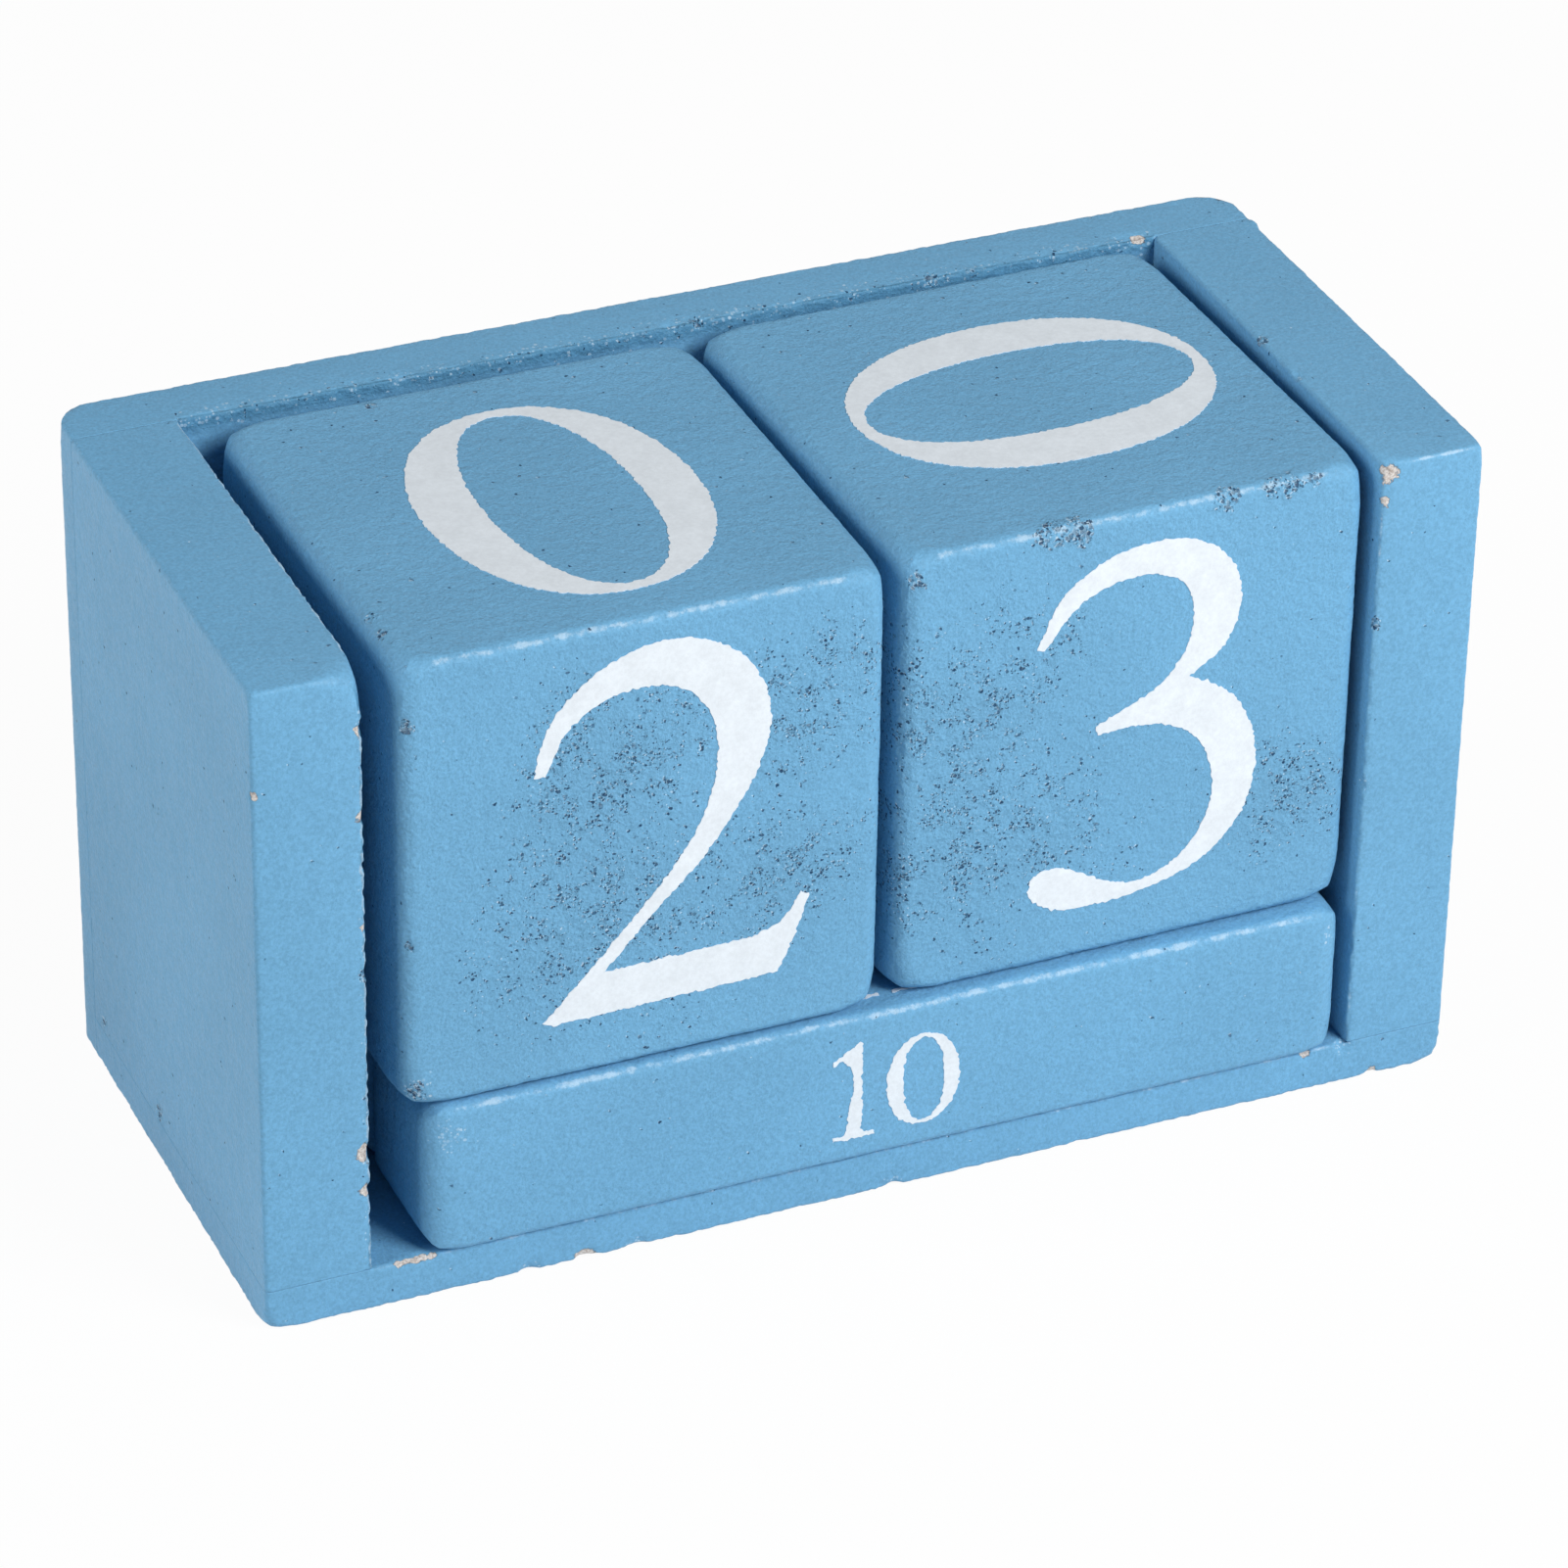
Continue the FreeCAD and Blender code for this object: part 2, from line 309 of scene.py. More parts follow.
def paint_material(name, grit, specks, tooth):
    """Satin paint on wood: fine peel, painted sparkle, edge wear with painted highlights, dark specks and
    holes, painted shade, and bare wood.
    """
    shader = Shader(name)
    places = shader.places()
    peel = shader.noise(places, *PEEL)
    grain = shader.noise(places, *GRAIN)
    large, small = (dots(shader, places, *kind, grit) for kind in (LARGE_SPARKLES, SMALL_SPARKLES))
    sparkles = shader.math("MAXIMUM", large, small)
    rim_highlights, holes = highlit_rims_and_holes(shader, places, specks)
    splinters = shader.math("ADD", shader.painted_on("bare"), shader.noise(places, *SPLINTERS))
    bare = shader.ramp(splinters, *BARE_RAMP)
    wood = shader.mix(shader.ramp(shader.noise(places, *FIBRES), *FIBRE_TONE), WORN_WOOD, BARE_WOOD)

    film = blue_film(shader, places, grain)
    # Painted sparkle: pale dots that stand for glints of light on the paint's tiny bumps
    film = cover(shader, film, sparkles, SPARKLE_COVER, HIGHLIGHT_AND_CHALK_BLUE)
    # A pale broken line along edges, partly wear and partly a painted highlight
    film = cover(shader, film, worn_highlight_lines(shader, places), WORN_HIGHLIGHT_COVER, HIGHLIGHT_AND_CHALK_BLUE)
    # Pale rims beside the holes are painted highlights
    film = cover(shader, film, rim_highlights, RIM_HIGHLIGHT_COVER, HIGHLIGHT_AND_CHALK_BLUE)
    # The holes' dark blue is partly painted shade in the pits
    film = cover(shader, film, holes, HOLE_COVER, SPECK_AND_PIT_SHADE_BLUE)
    shader.feed(shader.surface.inputs["Base Color"], shader.mix(bare, film, wood))

    marked = shader.math("MAXIMUM", shader.painted_on("pits"), shader.painted_on("specks"))
    marked = shader.math("MAXIMUM", marked, shader.painted_on("painted_shade"))
    height = shader.math("MULTIPLY_ADD", peel, PEEL_HEIGHT, grain)
    height = shader.math("MULTIPLY", height, shader.math("ADD", marked, tooth))
    for mark, step in ((sparkles, SPARKLE_HEIGHT), (holes, HOLE_HEIGHT), (bare, BARE_HEIGHT)):
        height = shader.math("MULTIPLY_ADD", mark, step, height)
    shader.feed(shader.surface.inputs["Normal"], shader.bump(height, PAINT_RELIEF))

    roughness = shader.ramp(peel, *PAINT_ROUGHNESS)
    for mark, step in ((holes, HOLE_ROUGHNESS), (bare, BARE_ROUGHNESS)):
        roughness = shader.math("MULTIPLY_ADD", mark, step, roughness)
    shader.feed(shader.surface.inputs["Roughness"], roughness)
    shader.surface.inputs["Specular IOR Level"].default_value = PAINT_SPECULAR
    return shader.material


def print_material(name):
    """Thick white screen ink with pinholes and a grainy face."""
    shader = Shader(name)
    places = shader.places()
    grain = shader.noise(places, *INK_GRAIN)
    mottle = shader.ramp(shader.noise(places, *INK_MOTTLE), *INK_TONE)
    level = shader.math("MULTIPLY", mottle, shader.ramp(grain, *INK_GRAIN_TONE))
    ink = shader.mix(1.0, PRINT_WHITE, shader.grey(level), "MULTIPLY")
    ink = cover(shader, ink, dots(shader, places, *PINHOLES, PINHOLE_SHARE), PINHOLE_COVER, PAINT_BLUE)
    shader.feed(shader.surface.inputs["Base Color"], ink)
    shader.feed(shader.surface.inputs["Roughness"], shader.ramp(grain, *INK_ROUGHNESS))
    shader.feed(shader.surface.inputs["Normal"], shader.bump(grain, INK_RELIEF))
    shader.surface.inputs["Specular IOR Level"].default_value = PRINT_SPECULAR
    shader.surface.inputs["Coat Weight"].default_value = PRINT_COAT
    shader.surface.inputs["Coat Roughness"].default_value = PRINT_COAT_ROUGHNESS
    return shader.material


# ---------------------------------------------------------------- blocks with worn edges

EDGES = [sides for sides in itertools.product((-1, 0, 1), repeat=3) if sides.count(0) == 1]

# Depth of the core that a block's surface is raised and lowered from, and its most as a share of half a thin
# block's thickness
CORE_DEPTH = 3.3
THIN_CORE = 0.9

# A chip is a hollow at a place on a face. Its kind names the mark that the paint shows there, if any.
Chip = namedtuple("Chip", "face across up size depth kind")
# How uneven a chip's rim is, how fast that changes along it, and how far out it and the mark reach, where the
# rim's middle line is at 1
CHIP_RAG = 0.5
CHIP_RAG_SCALE = 1.2
CHIP_RAG_REACH = 1.5
CHIP_MARK_REACH = 1.3

# A knock is a blunted corner, named by its three sides: its edges widen to a radius over their last stretch.
Knock = namedtuple("Knock", "corner radius reach")

# How far a block's edges wander and fray, how far beyond their rounding they do so, the seed, the chips and
# knocks, how much some edges are rubbed, in a pale line that is partly a painted highlight, how much more
# some fray than the rest, and how gritty some are, with painted shade on the wall below those
Wear = namedtuple("Wear", "wave rag reach seed chips knocks rubbed frayed gritty", defaults=({}, {}))
# Waves along a worn edge, slow and frayed: how many in a millimetre and how strong. Each is lowered by its
# wear, and nothing stands prouder than PROUDEST. A seed shifts their places by these steps.
SLOW_WAVES = ((0.22, 1.0), (0.6, 0.5))
FRAY_WAVES = ((1.2, 1.0), (2.9, 0.7))
SLOW_WEAR = 0.4
FRAY_WEAR = 0.3
PROUDEST = 0.03
SEED_STEPS = (31.7, 17.3, 7.9)

# How much of each mark a gritty edge shows. The first side that it is named by also gets painted shade, a
# darker blue, as far round the edge as the turn given below.
GRITTY_LOOK = {"pale": 1.0, "bare": 0.0, "pits": 0.2, "specks": 0.3}
SHADE_TURN = 0.3
SHADE_GAIN = 2

# Share of a block's length up to which rows of points count as near an end, and the digits to which points on
# two faces agree where they are one
END_SHARE = 0.45
SAME_POINT_DIGITS = 6


def zone(radius, arc_steps, flat_steps):
    """A face's rows of points, by their distance from an edge: even steps round it, then the given ones."""
    arc = [radius * (1 - math.tan(math.radians(45) * (1 - k / arc_steps))) for k in range(arc_steps)]
    return arc + [radius + step for step in flat_steps]


def cloudy(places, per_mm, seed):
    """Smooth noise at each of the places, mostly from -0.5 to 0.5."""
    shift = Vector([seed * step for step in SEED_STEPS])
    return np.array([noise.noise(Vector(place) * per_mm + shift) for place in places])


def waves(places, layers, seed):
    """Layers of smooth noise, each with its scale and its strength."""
    return sum(strength * cloudy(places, per_mm, seed) for per_mm, strength in layers)


class Block:
    """A box with all edges eased and some rounded more. An edge is named by its sides, 0 along the edge."""

    def __init__(self, low, high, ease, edges, rows, wear, turn=0.0, open_span=None):
        self.middle = (Vector(low) + Vector(high)) / 2
        self.half = np.array((Vector(high) - Vector(low)) / 2)
        self.ease = ease
        self.edges = edges
        self.rows = rows
        self.wear = wear
        self.turn = turn
        self.open_span = open_span or {}

    def at_edge(self, sides, points):
        """Which points lie on the open stretch of an edge, the two axes across it, and its sides on them."""
        axes = [axis for axis in range(3) if sides[axis]]
        is_open = abs(points[:, sides.index(0)]) < self.open_span.get(sides, math.inf)
        return is_open, axes, np.array([sides[axis] for axis in axes])

    def stations(self, axis):
        """Places along an axis, close together near both ends, and the number of steps near an end."""
        length = 2 * self.half[axis]
        near = [distance for distance in self.rows if distance < END_SHARE * length]
        run = length - 2 * near[-1]
        count = max(1, round(run / (EDGE_STEP * POINTS_PER_CELL))) * POINTS_PER_CELL
        even = [near[-1] + run * k / count for k in range(count)]
        far = [length - distance for distance in reversed(near)]
        return np.array(near[:-1] + even + far) - self.half[axis], len(near) - 1

    def on_face(self, face, across, up):
        """A place on a face, measured from its lower left corner as one looks at it."""
        axis, side, right, upward = FACES[face]
        corner = -(right * abs(right @ self.half) + upward * abs(upward @ self.half))
        corner[axis] = side * self.half[axis]
        return corner + right * across + upward * up

    def rounded(self, points):
        """Points of the sharp box, drawn in to the roundings."""
        core = np.clip(points, self.ease - self.half, self.half - self.ease)
        beyond = points - core
        reach = np.linalg.norm(beyond, axis=1)[:, None]
        points = core + beyond * np.minimum(1, self.ease / reach)
        for sides in self.edges:
            is_open, axes, signs = self.at_edge(sides, points)
            radius = self.radius(sides, points)[:, None]
            core = self.half[axes] - radius
            beyond = points[:, axes] * signs - core
            reach = np.linalg.norm(beyond, axis=1)[:, None]
            outside = (beyond > 0).all(axis=1) & (reach > radius)[:, 0] & is_open
            drawn_in = (core + beyond * (radius / np.maximum(reach, radius))) * signs
            points[np.ix_(outside, axes)] = drawn_in[outside]
        return points

    def radius(self, sides, points):
        """An edge's radius beside each point. It widens towards a knocked corner."""
        along = sides.index(0)
        radius = np.full(len(points), self.edges[sides])
        for knock in self.wear.knocks:
            if all(side in (0, corner) for side, corner in zip(sides, knock.corner)):
                left = self.half[along] - points[:, along] * knock.corner[along]
                widening = np.clip(1 - left / knock.reach, 0, None) ** 2
                radius = np.maximum(radius, self.edges[sides] + (knock.radius - self.edges[sides]) * widening)
        return radius

    def nearness(self, points, edges):
        """1 at an edge, by its share, and 0 from the wear's reach beyond its rounding."""
        nearest = np.zeros(len(points))
        for sides, share in edges.items():
            is_open, axes, signs = self.at_edge(sides, points)
            away = np.linalg.norm(self.half[axes] - points[:, axes] * signs, axis=1)
            close = np.clip(1 - away / (self.edges[sides] + self.wear.reach), 0, None)
            nearest = np.maximum(nearest, is_open * share * close * close * (3 - 2 * close))
        return nearest

    def chip_reach(self, chip, points):
        """Distance from a chip's middle, with a ragged rim, where 1 is the rim."""
        away = np.linalg.norm(points - self.on_face(chip.face, chip.across, chip.up), axis=1) / chip.size
        close = away < CHIP_RAG_REACH
        away[close] += CHIP_RAG * cloudy(points[close], CHIP_RAG_SCALE / chip.size, self.wear.seed)
        return away

    def hollow(self, fresh, points):
        """How far the surface that wear has left lies below the fresh one. Points are rounded, and the fresh
        ones sharp.
        """
        seed = self.wear.seed
        every = dict.fromkeys(self.edges, 1.0)
        near = self.nearness(points, every)
        fray = self.nearness(points, every | self.wear.frayed)
        depth = np.zeros(len(points))
        close = near > 0
        slow = near[close] * self.wear.wave * (waves(points[close], SLOW_WAVES, seed) + SLOW_WEAR)
        frayed = fray[close] * self.wear.rag * (waves(points[close], FRAY_WAVES, seed) + FRAY_WEAR)
        depth[close] = np.maximum(slow + frayed, -PROUDEST)
        for chip in self.wear.chips:
            depth += chip.depth * np.clip(1 - self.chip_reach(chip, fresh) ** 2, 0, None)
        return depth

    def outward(self, points):
        """Directions away from the block's core, square to a face on its flat."""
        depth = min(CORE_DEPTH, THIN_CORE * min(self.half))
        away = points - np.clip(points, depth - self.half, self.half - depth)
        return away / np.linalg.norm(away, axis=1)[:, None]

    def surface(self, points, raised=0.0):
        """Points of the sharp box, brought to the surface that wear has left, or a little above it."""
        rounded = self.rounded(points)
        return rounded + self.outward(rounded) * (raised - self.hollow(points, rounded))[:, None]

    def shows(self, points):
        """How strongly each mark shows in the paint where points of the sharp box have come to."""
        # The pale line along rubbed edges is partly wear and partly a painted highlight
        values = {"worn_highlight": self.nearness(self.rounded(points), self.wear.rubbed)}
        gritty = self.nearness(self.rounded(points), self.wear.gritty)
        for kind, share in GRITTY_LOOK.items():
            values[kind] = share * gritty
        # Painted shade: a darker blue on the wall just below a gritty edge
        values["painted_shade"] = np.zeros(len(points))
        for sides, share in self.wear.gritty.items():
            axis = next(axis for axis in range(3) if sides[axis])
            inward = self.half[axis] - points[:, axis] * sides[axis]
            on_wall = np.clip(1 - inward / SHADE_TURN, 0, 1)
            painted_shade = np.clip(SHADE_GAIN * gritty / share, 0, 1) * on_wall
            values["painted_shade"] = np.maximum(values["painted_shade"], painted_shade)
        for chip in self.wear.chips:
            if chip.kind:
                mark = np.clip(CHIP_MARK_REACH - self.chip_reach(chip, points), 0, 1)
                values[chip.kind] = np.maximum(values[chip.kind], mark)
        return values


def face_cells(numbers, column, row):
    """Corner numbers of a face's cells, small near its edges and large on its flat."""
    columns, rows = numbers.shape
    last_column, last_row = columns - 1 - column, rows - 1 - row
    small = np.ones((columns - 1, rows - 1), dtype=bool)
    small[column:last_column, row:last_row] = False
    i, j = np.nonzero(small)
    corners = [numbers[i, j], numbers[i + 1, j], numbers[i + 1, j + 1], numbers[i, j + 1]]
    cells = np.stack(corners, axis=1).tolist()
    step = POINTS_PER_CELL
    for i in range(column, last_column, step):
        for j in range(row, last_row, step):
            corners = [(k, j) for k in range(i, i + step, 1 if j == row else step)]
            corners += [(i + step, k) for k in range(j, j + step, 1 if i + step == last_column else step)]
            corners += [(k, j + step) for k in range(i + step, i, -1 if j + step == last_row else -step)]
            corners += [(i, k) for k in range(j + step, j, -1 if i == column else -step)]
            cells.append([numbers[corner] for corner in corners])
    return cells


def worn_mesh(name, block):
    """A block's skin: six grids of cells joined at their edges, with its marks at its points."""
    points, cells = [], []
    for axis in range(3):
        u, v = (axis + 1) % 3, (axis + 2) % 3
        (across, column), (up, row) = block.stations(u), block.stations(v)
        for side in (-1, 1):
            grid = np.empty((len(across), len(up), 3))
            grid[:, :, axis] = side * block.half[axis]
            grid[:, :, u] = across[:, None]
            grid[:, :, v] = up
            numbers = np.arange(grid.size // 3).reshape(grid.shape[:2]) + len(points)
            points.extend(grid.reshape(-1, 3))
            cells += [cell if side > 0 else cell[::-1] for cell in face_cells(numbers, column, row)]
    used, places = np.unique(np.concatenate(cells), return_inverse=True)
    rounded = np.round(np.array(points)[used], SAME_POINT_DIGITS)
    shared, joined = np.unique(rounded, axis=0, return_inverse=True)
    corners = joined.ravel()[places].tolist()
    faces, start = [], 0
    for cell in cells:
        faces.append(corners[start:start + len(cell)])
        start += len(cell)
    surface = block.surface(shared)
    data = bpy.data.meshes.new(name)
    data.from_pydata((surface * MM).tolist(), [], faces)
    for kind, values in block.shows(shared).items():
        data.attributes.new(kind, "FLOAT", "POINT").data.foreach_set("value", values)
    data.shade_smooth()
    return data


def add_piece(name, data, material, block):
    piece = bpy.data.objects.new(name, data)
    data.materials.append(material)
    bpy.context.scene.collection.objects.link(piece)
    turn = Matrix.Rotation(math.radians(block.turn), 4, "Z")
    piece.matrix_world = Matrix.Translation(block.middle * MM) @ turn
    return piece


def add_worn_block(node, block, material, body):
    piece = add_piece("painted_" + node, worn_mesh(node, block), material, block)
    normals = piece.modifiers.new("flat_faces", "WEIGHTED_NORMAL")
    normals.keep_sharp = False
    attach(piece, body)
    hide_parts(node)
    return piece


# ---------------------------------------------------------------- numerals

# Each outline is a list of strokes' edge points, "c" before a corner and the rest on a smooth line. Ovals are
# (centre x, centre y, half width, half height, tilt). Units are those of a numeral 36 high.
NUMERAL_HEIGHT = 36.0
OVAL_POWER = 2.15
OVAL_STEPS = 120
OUTLINE_STEP = 0.5
OUTLINES = {
    "1": [
        "c 0.8 29.4, 4.2 30.4, 5.6 28.6, c 5.6 3.4, 4.6 1.9, c 0.9 1.3, c 0.9 0, c 15.4 0, "
        "c 15.4 1.3, 11.8 1.9, c 10.7 3.4, c 10.7 36.2, c 9.4 36.2, c 0.6 31",
    ],
    "2": [
        "c 0.3 25.6, 0.7 27.9, 1.9 30.8, 4.7 33.8, 8.2 35.8, 12 36.6, 16.6 35.6, 20.2 32.6, "
        "22.1 27.4, 21.3 22.8, 18.6 17.7, 15.2 13.3, 11.2 9.3, c 6.6 4.4, c 20.6 4.7, 23.4 5.8, "
        "c 25.2 8.3, c 26 8, 24.6 3.8, c 23.1 0.5, c 2 0, c 1.1 0.5, 5.8 5.4, 10.2 10.2, 13.6 14.3, "
        "16.2 19.1, 17.2 24.9, 16.2 29, 13.8 31.5, 10 32.4, 6.6 31.8, 3.6 29.8, c 1.3 25.5",
    ],
    "3": [
        "c 0 27.8, 2.5 32.7, 5.8 35.1, 10.8 36.3, 15.9 35.3, 19.1 32.3, 19.9 28, 18.5 24.3, "
        "c 15.1 21.8, 18.6 19.8, 21.2 16.4, 22.2 11.5, 21.1 6.5, 17.9 2.8, 12.3 0.6, 6.3 0, 1.9 0.8, "
        "0.05 2.9, 0.6 4.4, 2.3 4.8, 4.6 4.1, 7.8 2.2, 10.8 1.5, 14.8 3, 17.3 6.3, 17.9 11, "
        "16.2 15.2, 12.8 17.4, 9.3 17.9, c 6.4 17.8, c 6.1 18.7, 8.8 19.8, 12.6 21.9, 14.6 24.5, "
        "15.3 28, 14.2 31.5, 11.3 33, 7.8 33, 4.1 31.5, c 0.8 27.6",
    ],
    "4": [
        "c 13.4 0, c 18.4 0, c 18.4 9.2, c 23.8 9.2, c 23.8 12.4, c 18.4 12.4, c 18.4 36.2, "
        "c 15.6 36.2, c 0 12, c 0 9.2, c 13.4 9.2",
        "c 13.4 12.4, c 3.2 12.4, c 13.4 28.6",
    ],
    "5": [
        "c 5 36, c 20.6 36, c 19 31.2, c 7.4 31.2, c 6.7 24, 10.6 24.1, 16 22.4, 20.6 18.1, "
        "21.9 12.3, 19.6 5.6, 13.8 1.1, 6.4 0, 1.6 0.8, 0.1 2.8, 0.9 4.6, 2.9 4.9, 6.2 3.1, 9.6 2.3, "
        "13.8 3.8, 16.7 7.8, 17.1 12.8, 14.8 17.4, 9.8 19.9, c 3 20.6",
    ],
    "6": [
        "c 20.9 35.2, c 20.5 36.3, 13.6 34.2, 6.4 28.2, 1.5 19.9, 0.3 12, 3.4 3.7, 11.7 0, 20 3.4, "
        "23.2 11, 20.5 18.4, 14 21.4, 9.4 20.6, c 6.5 18.9, 8.6 25, 13.4 30.9",
        (11.9, 10.4, 6.3, 9.0, -4),
    ],
    "7": [
        "c 0.6 36, c 23.2 36, c 23.2 34.4, 16.4 22.6, 11 9, c 8.8 0, c 3.8 0, 7.4 11, 13 22.4, "
        "c 18.4 31.2, c 4.6 31.2, 2.6 30.3, c 1.3 27.2, c 0.2 27.4",
    ],
    "8": [
        "11.6 36.4, 18.2 34.3, 20.6 28.6, 19 23.8, c 15.2 20.2, 20.3 16.2, 22.7 9.7, 19.7 2.7, "
        "11.6 0, 3.4 2.6, 0.4 9.2, 2.4 14.9, c 7 18.6, 3.7 22.7, 2.4 28.2, 5 34.2",
        (11.7, 28.3, 5.2, 6.6, 24),
        (11.3, 9.4, 6.8, 7.9, 20),
    ],
    "0": [
        (12.8, 17.2, 12.8, 17.2, 1.5),
        (13, 17.2, 7.3, 16.0, 1.5),
    ],
}
WIDTHS = {
    "0": 25.6, "1": 16.2, "2": 26, "3": 22.2, "4": 23.8,
    "5": 22, "6": 23.4, "7": 23.8, "8": 23, "9": 23.4,
}
LETTER_GAP = 3.2


def outline_points(outline):
    """The closed line through an outline's points, with its corners kept and its smooth points rounded."""
    points, corners = [], []
    for word in outline.split(","):
        parts = word.split()
        corners.append(parts[0] == "c")
        points.append(Vector((float(parts[-2]), float(parts[-1]))))
    count = len(points)
    line = []
    for i, start in enumerate(points):
        end = points[(i + 1) % count]
        reach = (end - start).length / 3
        leave = (end - start) if corners[i] else tangent(points, i)
        arrive = (end - start) if corners[(i + 1) % count] else tangent(points, (i + 1) % count)
        handles = start + leave.normalized() * reach, end - arrive.normalized() * reach
        steps = max(1, round((end - start).length / OUTLINE_STEP))
        for k in range(steps):
            t = k / steps
            leaving = start * (1 - t) ** 3 + handles[0] * 3 * t * (1 - t) ** 2
            line.append(leaving + handles[1] * 3 * t * t * (1 - t) + end * t**3)
    return line


def tangent(points, i):
    """The direction of the circle through a point and its neighbours."""
    before = points[i] - points[i - 1]
    after = points[(i + 1) % len(points)] - points[i]
    return before / before.length_squared + after / after.length_squared


def oval_points(x, y, width, height, tilt):
    """A slightly squared oval."""
    turn = Matrix.Rotation(math.radians(tilt), 2)
    line = []
    for k in range(OVAL_STEPS):
        angle = math.tau * k / OVAL_STEPS
        across, up = math.cos(angle), math.sin(angle)
        squared = [math.copysign(abs(c) ** (2 / OVAL_POWER), c) for c in (across, up)]
        line.append(Vector((x, y)) + turn @ Vector((squared[0] * width, squared[1] * height)))
    return line


def numeral_lines(character):
    """The outlines of one numeral, with its lower left corner at the origin. A 9 is a 6 turned over."""
    shape = "6" if character == "9" else character
    lines = [outline_points(o) if isinstance(o, str) else oval_points(*o) for o in OUTLINES[shape]]
    if character == "9":
        lines = [[Vector((WIDTHS["9"], NUMERAL_HEIGHT)) - p for p in line] for line in lines]
    return lines


def number_lines(number, height):
    """The outlines of a whole number of the given height, centred on the origin."""
    lines = []
    pen = 0.0
    for character in number:
        lines += [[p + Vector((pen, 0)) for p in line] for line in numeral_lines(character)]
        pen += WIDTHS[character] + LETTER_GAP
    middle = Vector(((pen - LETTER_GAP) / 2, NUMERAL_HEIGHT / 2))
    scale = height / NUMERAL_HEIGHT
    return [[(p - middle) * scale for p in line] for line in lines]


# The ink's height over the paint, and the length of the steps that its outline is cut to
INK_THICKNESS = 0.06
INK_STEP = 0.22
# How uneven the outline is, and its two layers of waves: how many in a millimetre, and the finer one's share
INK_RAG = 0.2
COARSE_RAG_SCALE = 2.3
FINE_RAG_SCALE = 5
FINE_RAG_SHARE = 0.6
# Distances from a block's edge at which the ink is cut to bend down, and how near a point counts as cut
PRINT_CUTS = [0.6 * k for k in range(1, 8)]
CUT_TOLERANCE = 1e-5


def ragged(line, seed):
    """A closed line cut to short steps, with the unevenness of ink pressed onto rough paint."""
    fine = []
    for i, start in enumerate(line):
        end = line[(i + 1) % len(line)]
        steps = max(1, round((end - start).length / INK_STEP))
        fine += [start.lerp(end, k / steps) for k in range(steps)]
    out = []
    for i, p in enumerate(fine):
        along = fine[(i + 1) % len(fine)] - fine[i - 1]
        aside = Vector((along.y, -along.x)).normalized() if along.length else Vector()
        push = noise.noise(Vector((p.x * COARSE_RAG_SCALE, p.y * COARSE_RAG_SCALE, seed)))
        push += FINE_RAG_SHARE * noise.noise(Vector((p.x * FINE_RAG_SCALE, p.y * FINE_RAG_SCALE, -seed)))
        out.append(p + aside * push * INK_RAG)
    return out


def cut_near_edges(mesh, faces, block, directions):
    """Cuts faces into strips near a block's edges, so that they can bend down with its roundings."""
    for direction in directions:
        reach = abs(direction @ block.half)
        square = {"dist": CUT_TOLERANCE, "plane_no": Vector(direction)}
        for distance in PRINT_CUTS:
            for side in (-1, 1):
                parts = set(faces) | {edge for face in faces for edge in face.edges}
                parts |= {corner for face in faces for corner in face.verts}
                place = Vector(direction * side * (reach - distance))
                cut = bmesh.ops.bisect_plane(mesh, geom=list(parts), plane_co=place, **square)
                faces = [item for item in cut["geom"] if isinstance(item, bmesh.types.BMFace)]
    return faces


def print_mesh(name, prints, block):
    """One mesh with all of a block's numbers."""
    mesh = bmesh.new()
    raised = set()
    for order, (face, number, across, up, turns, height) in enumerate(prints):
        right, upward = FACES[face][2:]
        outward = Vector(np.cross(right, upward))
        centre = block.on_face(face, across, up)
        turn = Matrix.Rotation(math.radians(90 * turns), 2)
        edges = []
        for line in number_lines(number, height):
            corners = []
            for point in ragged(line, order + block.middle.x):
                x, y = turn @ point
                corners.append(mesh.verts.new(centre + right * x + upward * y))
            edges += [mesh.edges.new(pair) for pair in zip(corners, corners[1:] + corners[:1])]
        filled = bmesh.ops.triangle_fill(mesh, edges=edges, use_beauty=True, normal=outward)
        faces = [item for item in filled["geom"] if isinstance(item, bmesh.types.BMFace)]
        faces = cut_near_edges(mesh, faces, block, (right, upward))
        lifted = bmesh.ops.extrude_face_region(mesh, geom=faces, use_keep_orig=False)
        raised |= {item for item in lifted["geom"] if isinstance(item, bmesh.types.BMVert)}
        bmesh.ops.delete(mesh, geom=[face for face in faces if face.is_valid], context="FACES_ONLY")
    corners = list(mesh.verts)
    heights = np.array([INK_THICKNESS if corner in raised else -INK_THICKNESS for corner in corners])
    places = block.surface(np.array([corner.co for corner in corners]), heights)
    for corner, place in zip(corners, places):
        corner.co = place * MM
    bmesh.ops.recalc_face_normals(mesh, faces=mesh.faces)
    data = bpy.data.meshes.new(name)
    mesh.to_mesh(data)
    mesh.free()
    return data


def add_prints(body, block, prints, material):
    name = body + "_numbers"
    piece = add_piece(name, print_mesh(name, prints, block), material, block)
    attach(piece, body)
    return piece


# ---------------------------------------------------------------- the calendar


